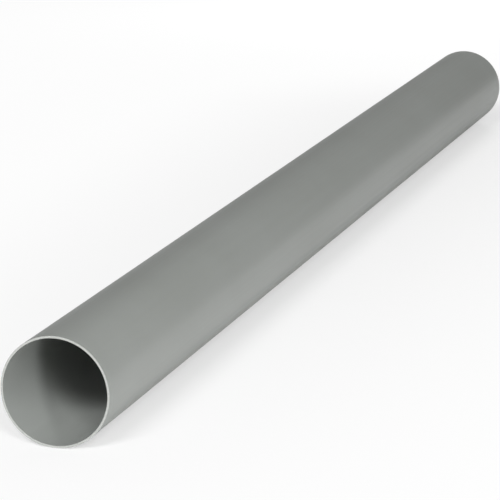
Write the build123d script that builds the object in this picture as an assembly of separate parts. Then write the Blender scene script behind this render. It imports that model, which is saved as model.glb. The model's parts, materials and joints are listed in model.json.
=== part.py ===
from build123d import *
import os

# A straight, plain-ended length of rigid PVC drain pipe, lying on its side along X.
# The origin is midway along the pipe, on the line where it touches the floor.

# Driving dimensions, in millimetres
outside_diameter = 125.0
wall_thickness = 2.5
pipe_length = 2000.0
outer_edge_break = 0.4  # burr scraped off the sawn ends, outside
inner_edge_break = 0.3  # and inside the bore

# The axis lies one outside radius above the floor
outside_radius = outside_diameter / 2
bore_radius = outside_radius - wall_thickness
near_end = Plane.YZ.offset(-pipe_length / 2)

# One extruded ring, sawn square at both ends
with BuildPart() as pipe:
    with BuildSketch(near_end):
        with Locations((0, outside_radius)):
            Circle(outside_radius)
            Circle(bore_radius, mode=Mode.SUBTRACT)
    extrude(amount=pipe_length)
    end_circles = pipe.edges().filter_by(GeomType.CIRCLE).group_by(SortBy.RADIUS)
    chamfer(end_circles[-1], outer_edge_break)
    chamfer(end_circles[0], inner_edge_break)

os.makedirs("parts", exist_ok=True)
export_step(pipe.part, "parts/pipe.step")
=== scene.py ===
import json
import math
import bpy
import numpy as np
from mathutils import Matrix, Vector


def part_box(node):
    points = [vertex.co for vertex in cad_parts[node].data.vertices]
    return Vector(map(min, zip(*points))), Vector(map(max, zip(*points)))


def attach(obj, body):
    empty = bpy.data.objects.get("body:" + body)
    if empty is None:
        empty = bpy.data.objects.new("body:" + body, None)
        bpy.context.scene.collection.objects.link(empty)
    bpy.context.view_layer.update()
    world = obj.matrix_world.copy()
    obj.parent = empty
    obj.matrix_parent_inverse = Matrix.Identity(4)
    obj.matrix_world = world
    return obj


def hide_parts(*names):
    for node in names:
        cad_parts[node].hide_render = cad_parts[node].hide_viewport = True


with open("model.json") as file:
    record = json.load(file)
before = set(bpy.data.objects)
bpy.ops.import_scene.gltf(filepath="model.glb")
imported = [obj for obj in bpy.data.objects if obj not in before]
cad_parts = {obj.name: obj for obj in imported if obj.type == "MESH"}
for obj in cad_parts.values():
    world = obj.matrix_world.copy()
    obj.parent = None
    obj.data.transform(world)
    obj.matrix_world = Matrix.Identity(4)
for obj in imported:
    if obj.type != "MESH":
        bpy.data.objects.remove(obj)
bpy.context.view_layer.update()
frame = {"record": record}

mm = 0.001  # metres in a millimetre


def linearFromHex(code):
    channels = [int(code[i:i + 2], 16) / 255 for i in (1, 3, 5)]
    return [c / 12.92 if c <= 0.04045 else ((c + 0.055) / 1.055) ** 2.4 for c in channels] + [1.0]


def addNode(tree, kind, settings=None, links=None):
    node = tree.nodes.new(kind)
    for name, value in (settings or {}).items():
        if name == "stops":  # a colour ramp's places and hex colours
            elements = node.color_ramp.elements
            while len(elements) < len(value):
                elements.new(1.0)
            for element, (place, code) in zip(elements, value):
                element.position = place
                element.color = linearFromHex(code)
        elif isinstance(name, int) or name in node.inputs:
            node.inputs[name].default_value = value
        else:
            setattr(node, name, value)
    for name, source in (links or {}).items():
        tree.links.new(source, node.inputs[name])
    return node


def newMaterial(name):
    material = bpy.data.materials.new(name)
    material.use_nodes = True
    material.node_tree.nodes.clear()
    print("material:", name)
    return material, material.node_tree


# Sizes of the stock, read from the frame
mounts = {m["name"]: m for m in frame["record"]["mounts"]}
boxLow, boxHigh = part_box("pipe")
pipeLength = boxHigh.x - boxLow.x
axisHeight = mounts["bore"]["pos_m"][2]
outsideRadius = mounts["outside_wall"]["dims"]["r_mm"] * mm
boreRadius = mounts["bore"]["dims"]["r_mm"] * mm
outerBreak = (pipeLength - mounts["outside_wall"]["dims"]["length_mm"] * mm) / 2
innerBreak = (pipeLength - mounts["bore"]["dims"]["length_mm"] * mm) / 2
print("stock: length", round(pipeLength, 4), "radii", outsideRadius, boreRadius)

noiseLow, noiseHigh = 0.3, 0.7  # nearly all of a noise texture's values lie between these
paleStop = 0.6  # where the pale grey stands on a finish's ramp; scuffs or scraping go on from there

# Rigid PVC, extruded and drawn through a water-cooled sizing sleeve: an even dust grey with a satin skin.
# The die leaves fine lines along the length, which the eye reads as a faint brushed streak in the shine,
# and sliding over other lengths in the rack leaves a few pale scuffs.
outsideSkin = {
    "darkGrey": "#868985",
    "paleGrey": "#8e918e",
    "scuffGrey": "#9a9c99",
    "ior": 1.53,
    "roughness": 0.40,
    "roughnessSpread": 0.05,
    "streakRoughness": 0.6,  # how strongly the finest of the lines and scuffs show
    "lineWidthMm": 2.5,  # real die lines are under 1 mm apart; drawn coarser so that they show
    "lineLengthMm": 900.0,
    "lineDepthMm": 0.015,
    "lineDetail": 3.0,
    "cloudMm": 160.0,
    "cloudDetail": 2.0,
    "scuffWidthMm": 1.6,  # real scuffs are hair-fine; drawn coarser so that they show
    "scuffLengthMm": 120.0,
    "scuffDetail": 2.0,
    "scuffLevel": 0.70,  # higher leaves fewer
    "scuffEdge": 0.10,  # higher lets them fade in more gently
    "scuffRoughness": 0.10,
}
# The bore is drawn over a smooth mandrel and nothing rubs it, so it has hardly a scuff
# Its grey is a shade paler than the outside's: painted light, standing in for light that falls into the
# bore's mouth
boreSkinPaintedLight = dict(outsideSkin, darkGrey="#8b8e8b", paleGrey="#939693", roughness=0.42,
                lineWidthMm=3.5, lineDepthMm=0.02, scuffLevel=0.80)


def drawnOut(tree, place, skin, mark):
    along = 1 / (skin[mark + "LengthMm"] * mm)
    across = 1 / (skin[mark + "WidthMm"] * mm)
    stretched = addNode(tree, "ShaderNodeMapping", {"Scale": (along, across, across)}, {"Vector": place})
    noise = addNode(tree, "ShaderNodeTexNoise", {
        "Scale": 1.0,
        "Detail": skin[mark + "Detail"],
        "Roughness": skin["streakRoughness"],
    }, {"Vector": stretched.outputs["Vector"]})
    return noise.outputs["Fac"]


def extrudedPvc(name, skin):
    material, tree = newMaterial(name)
    place = addNode(tree, "ShaderNodeTexCoord").outputs["Object"]
    dieLines = drawnOut(tree, place, skin, "line")
    clouds = addNode(tree, "ShaderNodeTexNoise", {
        "Scale": 1 / (skin["cloudMm"] * mm),
        "Detail": skin["cloudDetail"],
    }, {"Vector": place})
    rubs = drawnOut(tree, place, skin, "scuff")
    scuffs = addNode(tree, "ShaderNodeMapRange", {
        "From Min": skin["scuffLevel"],
        "From Max": skin["scuffLevel"] + skin["scuffEdge"],
    }, {"Value": rubs})
    # Lines and clouds take the grey from dark to pale, and scuffs take it on from there
    tone = addNode(tree, "ShaderNodeMath", {"operation": "ADD"}, {0: dieLines, 1: clouds.outputs["Fac"]})
    even = addNode(tree, "ShaderNodeMapRange", {
        "From Min": 2 * noiseLow,
        "From Max": 2 * noiseHigh,
        "To Max": paleStop,
    }, {"Value": tone.outputs[0]})
    shade = addNode(tree, "ShaderNodeMath", {"operation": "MULTIPLY_ADD", 1: 1 - paleStop},
                    {0: scuffs.outputs["Result"], 2: even.outputs["Result"]})
    stops = [(0.0, skin["darkGrey"]), (paleStop, skin["paleGrey"]), (1.0, skin["scuffGrey"])]
    colour = addNode(tree, "ShaderNodeValToRGB", {"stops": stops}, {"Fac": shade.outputs[0]})
    gloss = addNode(tree, "ShaderNodeMapRange", {
        "From Min": noiseLow,
        "From Max": noiseHigh,
        "To Min": skin["roughness"] - skin["roughnessSpread"],
        "To Max": skin["roughness"] + skin["roughnessSpread"],
    }, {"Value": dieLines})
    worn = addNode(tree, "ShaderNodeMath", {"operation": "MULTIPLY_ADD", 1: skin["scuffRoughness"]},
                   {0: scuffs.outputs["Result"], 2: gloss.outputs["Result"]})
    relief = addNode(tree, "ShaderNodeBump", {"Strength": 1.0, "Distance": skin["lineDepthMm"] * mm},
                     {"Height": dieLines})
    shader = addNode(tree, "ShaderNodeBsdfPrincipled", {"IOR": skin["ior"]}, {
        "Base Color": colour.outputs["Color"],
        "Roughness": worn.outputs[0],
        "Normal": relief.outputs["Normal"],
    })
    addNode(tree, "ShaderNodeOutputMaterial", {}, {"Surface": shader.outputs["BSDF"]})
    return material


# Rigid PVC, sawn across and scraped: the cut has no satin skin, so it is dull, from the wall's own grey to
# a shade paler, and the rim reads as a pale ring where it faces the light. The blade leaves arcs of its own
# radius, one feed apart, and the scraped edges are the palest.
sawnFace = {
    "dullGrey": "#858784",
    "paleGrey": "#8f918e",
    "scrapedGrey": "#9a9c99",
    "ior": 1.53,
    "roughness": 0.60,
    "bladeRadiusMm": 180.0,
    "feedMm": 2.6,  # real feed marks are about 0.5 mm apart; drawn coarser so that they show
    "feedSway": 1.5,  # how far the arcs bunch and spread, because the feed isn't quite steady
    "feedSwayPace": 1.2,
    "markDepthMm": 0.06,
    "markDetail": 3.0,
    "edgeMm": 0.5,  # how far in from each edge the scraping shows
}


def sawnPvc(name, face):
    material, tree = newMaterial(name)
    place = addNode(tree, "ShaderNodeTexCoord").outputs["Object"]
    # How far the blade had been fed when it cut each point, which is the same all along one arc
    spot = addNode(tree, "ShaderNodeSeparateXYZ", {}, {"Vector": place})
    square = addNode(tree, "ShaderNodeMath", {"operation": "MULTIPLY"},
                     {0: spot.outputs["Y"], 1: spot.outputs["Y"]})
    drop = addNode(tree, "ShaderNodeMath", {"operation": "SUBTRACT", 0: (face["bladeRadiusMm"] * mm) ** 2},
                   {1: square.outputs[0]})
    sag = addNode(tree, "ShaderNodeMath", {"operation": "SQRT"}, {0: drop.outputs[0]})
    feed = addNode(tree, "ShaderNodeMath", {"operation": "ADD"}, {0: sag.outputs[0], 1: spot.outputs["Z"]})
    marks = addNode(tree, "ShaderNodeTexNoise", {
        "noise_dimensions": "1D",
        "Scale": 1 / (face["feedMm"] * mm),
        "Detail": face["markDetail"],
    }, {"W": feed.outputs[0]})
    # Distance from the middle of the wall, for the scraped edges
    middle = (outsideRadius + boreRadius) / 2
    reachOut = (outsideRadius - boreRadius) / 2
    centred = addNode(tree, "ShaderNodeVectorMath", {
        "operation": "MULTIPLY_ADD",
        1: (0, 1, 1),
        2: (0, 0, -axisHeight),
    }, {0: place})
    radius = addNode(tree, "ShaderNodeVectorMath", {"operation": "LENGTH"}, {0: centred.outputs["Vector"]})
    offset = addNode(tree, "ShaderNodeMath", {"operation": "SUBTRACT", 1: middle},
                     {0: radius.outputs["Value"]})
    away = addNode(tree, "ShaderNodeMath", {"operation": "ABSOLUTE"}, {0: offset.outputs[0]})
    scraped = addNode(tree, "ShaderNodeMapRange", {
        "From Min": reachOut - face["edgeMm"] * mm,
        "From Max": reachOut,
        "To Max": 1 - paleStop,
    }, {"Value": away.outputs[0]})
    cut = addNode(tree, "ShaderNodeMapRange", {
        "From Min": noiseLow,
        "From Max": noiseHigh,
        "To Max": paleStop,
    }, {"Value": marks.outputs["Fac"]})
    shade = addNode(tree, "ShaderNodeMath", {"operation": "ADD"},
                    {0: cut.outputs["Result"], 1: scraped.outputs["Result"]})
    stops = [(0.0, face["dullGrey"]), (paleStop, face["paleGrey"]), (1.0, face["scrapedGrey"])]
    colour = addNode(tree, "ShaderNodeValToRGB", {"stops": stops}, {"Fac": shade.outputs[0]})
    relief = addNode(tree, "ShaderNodeBump", {"Strength": 1.0, "Distance": face["markDepthMm"] * mm},
                     {"Height": marks.outputs["Fac"]})
    shader = addNode(tree, "ShaderNodeBsdfPrincipled", {
        "IOR": face["ior"],
        "Roughness": face["roughness"],
    }, {
        "Base Color": colour.outputs["Color"],
        "Normal": relief.outputs["Normal"],
    })
    addNode(tree, "ShaderNodeOutputMaterial", {}, {"Surface": shader.outputs["BSDF"]})
    return material


# The pipe, one closed mesh of rings: the outside wall, the far end, the bore and back to the near end
pipeMesh = {
    "around": 600,
    "outsideStations": 64,
    "boreStations": 40,
    "faceRings": 7,
    "breakSteps": 4,
    "supportMm": 0.6,  # a ring this close to each edge keeps its shading tight
    "breakSpread": 0.3,  # edges scraped by hand vary by this share
    "breakLobes": (2, 3, 5, 9),  # times round the rim
    "waveMm": 0.06,  # the wall wanders this much as the warm pipe is hauled off
    "waves": ((330.0, 2), (210.0, 3)),  # length in mm, and lobes round the pipe
    "seed": 7,
    "bakeMargin": 0.005,
    "bakeStrips": {  # low edge and height of each part's strip in the bake map
        "outside": (0.01, 0.46),
        "bore": (0.49, 0.46),
        "farEnd": (0.965, 0.01),
        "nearEnd": (0.982, 0.01),
    },
}


# An uneven wave round the rim, from -1 to 1
def wander(angle, lobes, rng):
    phases = rng.uniform(0, 2 * math.pi, len(lobes))
    return sum(np.cos(n * angle + p) for n, p in zip(lobes, phases)) / len(lobes)


# Places of a wall's rings as shares of its length, with one ring close to each edge
def wallShares(stations):
    support = pipeMesh["supportMm"] * mm / pipeLength
    return np.sort(np.concatenate([np.linspace(0, 1, stations), [support, 1 - support]]))


# A ring is a place along the pipe and a radius, both for every angle. An end's rings go from wall to bore.
def endRings(side, outer, inner):
    half = pipeLength / 2
    turns = np.linspace(0, math.pi / 2, pipeMesh["breakSteps"] + 1)[1:-1]
    rings = [(half - outer * (1 - math.sin(t)), outsideRadius - outer * (1 - math.cos(t))) for t in turns]
    for share in np.linspace(0, 1, pipeMesh["faceRings"]):
        radius = (outsideRadius - outer) * (1 - share) + (boreRadius + inner) * share
        rings.append((np.full_like(outer, half), radius))
    rings += [(half - inner * (1 - math.cos(t)), boreRadius + inner * (1 - math.sin(t))) for t in turns]
    return [(side * x, r) for x, r in rings]


def pipeParts(angle, rng):
    half = pipeLength / 2
    outerFar, innerFar, outerNear, innerNear = [
        size * (1 + pipeMesh["breakSpread"] * wander(angle, pipeMesh["breakLobes"], rng))
        for size in (outerBreak, innerBreak, outerBreak, innerBreak)
    ]
    outside = [((half - outerFar) * s - (half - outerNear) * (1 - s), np.full_like(angle, outsideRadius))
               for s in wallShares(pipeMesh["outsideStations"])]
    bore = [((half - innerFar) * (1 - s) - (half - innerNear) * s, np.full_like(angle, boreRadius))
            for s in wallShares(pipeMesh["boreStations"])]
    return {
        "outside": outside,
        "farEnd": endRings(1, outerFar, innerFar),
        "bore": bore,
        "nearEnd": endRings(-1, outerNear, innerNear)[::-1],
    }


def pipePoints(x, r, angle, rng):
    # The wall's slow wander, inwards only
    phases = rng.uniform(0, 2 * math.pi, len(pipeMesh["waves"]))
    wave = sum(np.sin(2 * math.pi * x / (length * mm) + lobes * angle + p)
               for (length, lobes), p in zip(pipeMesh["waves"], phases)) / len(phases)
    r = r - pipeMesh["waveMm"] * mm * (1 + wave) / 2
    y, z = r * np.cos(angle), r * np.sin(angle)
    # The blade's arcs, cut into the end faces
    feed = (z + np.sqrt((sawnFace["bladeRadiusMm"] * mm) ** 2 - y**2)) / (sawnFace["feedMm"] * mm)
    sway = sawnFace["feedSway"] * np.sin(sawnFace["feedSwayPace"] * feed)
    marks = (1 + np.sin(2 * math.pi * feed + sway)) / 2
    onFace = np.clip(1 - (pipeLength / 2 - np.abs(x)) / outerBreak, 0, 1)
    x = x - np.sign(x) * onFace * marks * sawnFace["markDepthMm"] * mm
    return np.stack([x, y, axisHeight + z], axis=-1)


# Walls and ends unrolled into straight strips, so that baked finishes keep the die lines straight
def bakeMap(mesh, rowPart, along):
    rings, around = len(rowPart), pipeMesh["around"]
    margin = pipeMesh["bakeMargin"]
    low, high = np.arange(around) / around, np.arange(1, around + 1) / around
    corners = np.zeros((rings, around, 4, 2))
    for i, part in enumerate(rowPart):
        isEnd = part.endswith("End")
        start, stop = along[i], along[(i + 1) % rings]
        if isEnd:
            first, count = rowPart.index(part), rowPart.count(part)
            start, stop = (i - first) / count, (i + 1 - first) / count
        stripLow, stripHeight = pipeMesh["bakeStrips"][part]
        for corner, (s, t) in enumerate([(start, low), (start, high), (stop, high), (stop, low)]):
            u, v = (t, s) if isEnd else (s, t)
            corners[i, :, corner, 0] = margin + (1 - 2 * margin) * u
            corners[i, :, corner, 1] = stripLow + stripHeight * v
    mesh.uv_layers.new(name="OFBake").data.foreach_set("uv", corners.astype(np.float32).ravel())


def buildPipe():
    rng = np.random.default_rng(pipeMesh["seed"])
    around = pipeMesh["around"]
    angle = np.linspace(0, 2 * math.pi, around, endpoint=False)
    parts = pipeParts(angle, rng)
    ringPart = [name for name, rings in parts.items() for ring in rings]
    x, r = [np.array([ring[k] for rings in parts.values() for ring in rings]) for k in (0, 1)]
    rings = len(ringPart)
    points = pipePoints(x, r, angle, rng).reshape(-1, 3)
    i, j = np.meshgrid(np.arange(rings), np.arange(around), indexing="ij")
    iNext, jNext = (i + 1) % rings, (j + 1) % around
    corners = [i * around + j, i * around + jNext, iNext * around + jNext, iNext * around + j]
    faces = np.stack(corners, axis=-1).reshape(-1, 4)
    mesh = bpy.data.meshes.new("pipeWall")
    mesh.from_pydata(points.tolist(), [], faces.tolist())
    # A row of faces between a wall and an end belongs to the end
    nextPart = ringPart[1:] + ringPart[:1]
    rowPart = [a if a.endswith("End") else b for a, b in zip(ringPart, nextPart)]
    slotOfPart = {"outside": 0, "farEnd": 1, "nearEnd": 1, "bore": 2}  # as the materials are added below
    slotOfRow = np.array([slotOfPart[part] for part in rowPart], np.int32)
    mesh.polygons.foreach_set("material_index", np.repeat(slotOfRow, around))
    mesh.polygons.foreach_set("use_smooth", np.ones(rings * around, bool))
    bakeMap(mesh, rowPart, x.mean(axis=1) / pipeLength + 0.5)
    mesh.update()
    mesh.materials.append(extrudedPvc("extrudedPvcOutside", outsideSkin))
    mesh.materials.append(sawnPvc("sawnPvcEnd", sawnFace))
    mesh.materials.append(extrudedPvc("extrudedPvcBore", boreSkinPaintedLight))
    piece = bpy.data.objects.new("pipeWall", mesh)
    bpy.context.scene.collection.objects.link(piece)
    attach(piece, "root")
    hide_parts("pipe")
    print("pipe:", rings, "rings,", 2 * rings * around, "triangles")


buildPipe()


# Matt white paint, rolled on a flat floor: no shine, so it keeps the pipe's shadow and fades to plain white
floorSheet = {
    "size": 80.0,  # metres
    "white": "#f2f2f2",
    "reach": 0.6,  # metres from the pipe to where the fade ends
    "viewLift": (0.55, 0.92),  # share of plain white that a viewer sees, beside the pipe and far off
    "shineLift": (0.05, 0.45),  # the same in the pipe's shine
}


def mattWhitePaint(sheet):
    material, tree = newMaterial("mattWhitePaint")
    matt = addNode(tree, "ShaderNodeBsdfDiffuse", {"Color": linearFromHex(sheet["white"])})
    white = addNode(tree, "ShaderNodeEmission", {"Strength": 1.0})
    # Distance from the line that the pipe lies on
    place = addNode(tree, "ShaderNodeTexCoord").outputs["Object"]
    folded = addNode(tree, "ShaderNodeVectorMath", {"operation": "ABSOLUTE"}, {0: place})
    past = addNode(tree, "ShaderNodeVectorMath", {"operation": "SUBTRACT", 1: (pipeLength / 2, 0, 0)},
                   {0: folded.outputs["Vector"]})
    clear = addNode(tree, "ShaderNodeVectorMath", {"operation": "MAXIMUM", 1: (0, 0, 0)},
                    {0: past.outputs["Vector"]})
    gap = addNode(tree, "ShaderNodeVectorMath", {"operation": "LENGTH"}, {0: clear.outputs["Vector"]})
    ray = addNode(tree, "ShaderNodeLightPath")
    shiny = addNode(tree, "ShaderNodeMath", {"operation": "MAXIMUM"},
                    {0: ray.outputs["Is Glossy Ray"], 1: ray.outputs["Is Transmission Ray"]})
    lifts = []
    for seen, lift in ((ray.outputs["Is Camera Ray"], "viewLift"), (shiny.outputs[0], "shineLift")):
        beside, away = sheet[lift]
        fade = addNode(tree, "ShaderNodeMapRange", {
            "interpolation_type": "SMOOTHSTEP",
            "From Max": sheet["reach"],
            "To Min": beside,
            "To Max": away,
        }, {"Value": gap.outputs["Value"]})
        lifted = addNode(tree, "ShaderNodeMath", {"operation": "MULTIPLY"},
                         {0: seen, 1: fade.outputs["Result"]})
        lifts.append(lifted.outputs[0])
    share = addNode(tree, "ShaderNodeMath", {"operation": "MAXIMUM"}, {0: lifts[0], 1: lifts[1]})
    mixed = addNode(tree, "ShaderNodeMixShader", {},
                    {0: share.outputs[0], 1: matt.outputs["BSDF"], 2: white.outputs["Emission"]})
    addNode(tree, "ShaderNodeOutputMaterial", {}, {"Surface": mixed.outputs["Shader"]})
    return material


def buildFloor():
    half = floorSheet["size"] / 2
    corners = [(-half, -half, 0), (half, -half, 0), (half, half, 0), (-half, half, 0)]
    mesh = bpy.data.meshes.new("floor")
    mesh.from_pydata(corners, [], [(0, 1, 2, 3)])
    mesh.materials.append(mattWhitePaint(floorSheet))
    floor = bpy.data.objects.new("floor", mesh)
    bpy.context.scene.collection.objects.link(floor)
    print("floor:", floorSheet["size"], "m square")


buildFloor()


# Soft studio light: softboxes on the camera's side, weaker ones behind, and a dim room with a white backdrop
studio = {
    "roomStrength": 0.185,
    "backdropWhite": 0.95,
    "backdropShine": 0.04,  # share of the backdrop's white that the pipe's shine shows
    "aim": (-0.4, 0.0, axisHeight),  # what the boxes point at
    # Turn goes from the pipe's near end towards the camera's right. Soft and sheen are watts: only the sheen
    # shows in the pipe's shine, where a low or strong box would glare along the wall when seen from behind.
    "softboxes": {
        "highFront": dict(turnDeg=-2.8, riseDeg=35.0, distance=12.0, size=(4.2, 2.2), soft=450, sheen=550),
        "rightFront": dict(turnDeg=29.0, riseDeg=29.0, distance=12.0, size=(2.4, 3.6), soft=355, sheen=380),
        "lowRight": dict(turnDeg=42.5, riseDeg=3.5, distance=4.0, size=(0.6, 0.6), soft=59, sheen=0),
        "lowFront": dict(turnDeg=0.0, riseDeg=9.0, distance=12.0, size=(3.6, 1.8), soft=510, sheen=0),
        "lowBack": dict(turnDeg=-115.0, riseDeg=2.5, distance=8.0, size=(2.4, 0.6), soft=0, sheen=70),
        "farEnd": dict(turnDeg=-172.0, riseDeg=9.0, distance=3.0, size=(0.8, 0.5), soft=11, sheen=0),
    },
}


def buildSoftbox(name, setup, power, shows):
    lamp = bpy.data.lights.new(name, "AREA")
    lamp.shape = "RECTANGLE"
    lamp.size, lamp.size_y = setup["size"]
    lamp.energy = power
    box = bpy.data.objects.new(name, lamp)
    bpy.context.scene.collection.objects.link(box)
    turn, rise = math.radians(setup["turnDeg"]), math.radians(setup["riseDeg"])
    way = Vector((-math.cos(rise) * math.cos(turn), -math.cos(rise) * math.sin(turn), math.sin(rise)))
    box.location = Vector(studio["aim"]) + way * setup["distance"]
    box.rotation_mode = "QUATERNION"
    box.rotation_quaternion = way.to_track_quat("Z", "Y")
    box.visible_camera = False
    box.visible_glossy = shows


def buildRoom():
    world = bpy.data.worlds.new("room")
    world.use_nodes = True
    tree = world.node_tree
    tree.nodes.clear()
    ray = addNode(tree, "ShaderNodeLightPath")
    straight = addNode(tree, "ShaderNodeMath", {"operation": "MAXIMUM"},
                       {0: ray.outputs["Is Camera Ray"], 1: ray.outputs["Is Transmission Ray"]})
    share = addNode(tree, "ShaderNodeMath", {"operation": "MULTIPLY_ADD", 1: studio["backdropShine"]},
                    {0: ray.outputs["Is Glossy Ray"], 2: straight.outputs[0]})
    level = addNode(tree, "ShaderNodeMapRange", {
        "To Min": studio["roomStrength"],
        "To Max": studio["backdropWhite"],
    }, {"Value": share.outputs[0]})
    room = addNode(tree, "ShaderNodeBackground", {"Color": (1, 1, 1, 1)},
                   {"Strength": level.outputs["Result"]})
    addNode(tree, "ShaderNodeOutputWorld", {}, {"Surface": room.outputs["Background"]})
    bpy.context.scene.world = world


def buildStudio():
    for name, setup in studio["softboxes"].items():
        if setup["soft"] > 0:
            buildSoftbox(name, setup, setup["soft"], False)
        if setup["sheen"] > 0:
            buildSoftbox(name + "Sheen", setup, setup["sheen"], True)
    buildRoom()
    print("studio: softboxes at", len(studio["softboxes"]), "places")


buildStudio()


# Camera at the photograph's place: a long lens off the near end, a little above it and on the pipe's -Y side
shot = {
    "azimuthDeg": -72.895,
    "elevationDeg": 13.369,
    "distance": 3.530,
    "aim": (-0.29546, -0.00232, 0.05963),
    "lensMm": 193.106,
    "sensorMm": 36.0,
}


def buildCamera():
    turn, rise = math.radians(shot["azimuthDeg"]), math.radians(shot["elevationDeg"])
    back = Vector((math.sin(turn) * math.cos(rise), -math.cos(turn) * math.cos(rise), math.sin(rise)))
    data = bpy.data.cameras.new("camera")
    data.lens = shot["lensMm"]
    data.sensor_width = shot["sensorMm"]
    camera = bpy.data.objects.new("camera", data)
    bpy.context.scene.collection.objects.link(camera)
    camera.location = Vector(shot["aim"]) + back * shot["distance"]
    camera.rotation_mode = "QUATERNION"
    camera.rotation_quaternion = back.to_track_quat("Z", "Y")
    bpy.context.scene.camera = camera
    print("camera:", shot["lensMm"], "mm lens at", shot["distance"], "m")


buildCamera()
bpy.context.scene.view_settings.view_transform = "Standard"
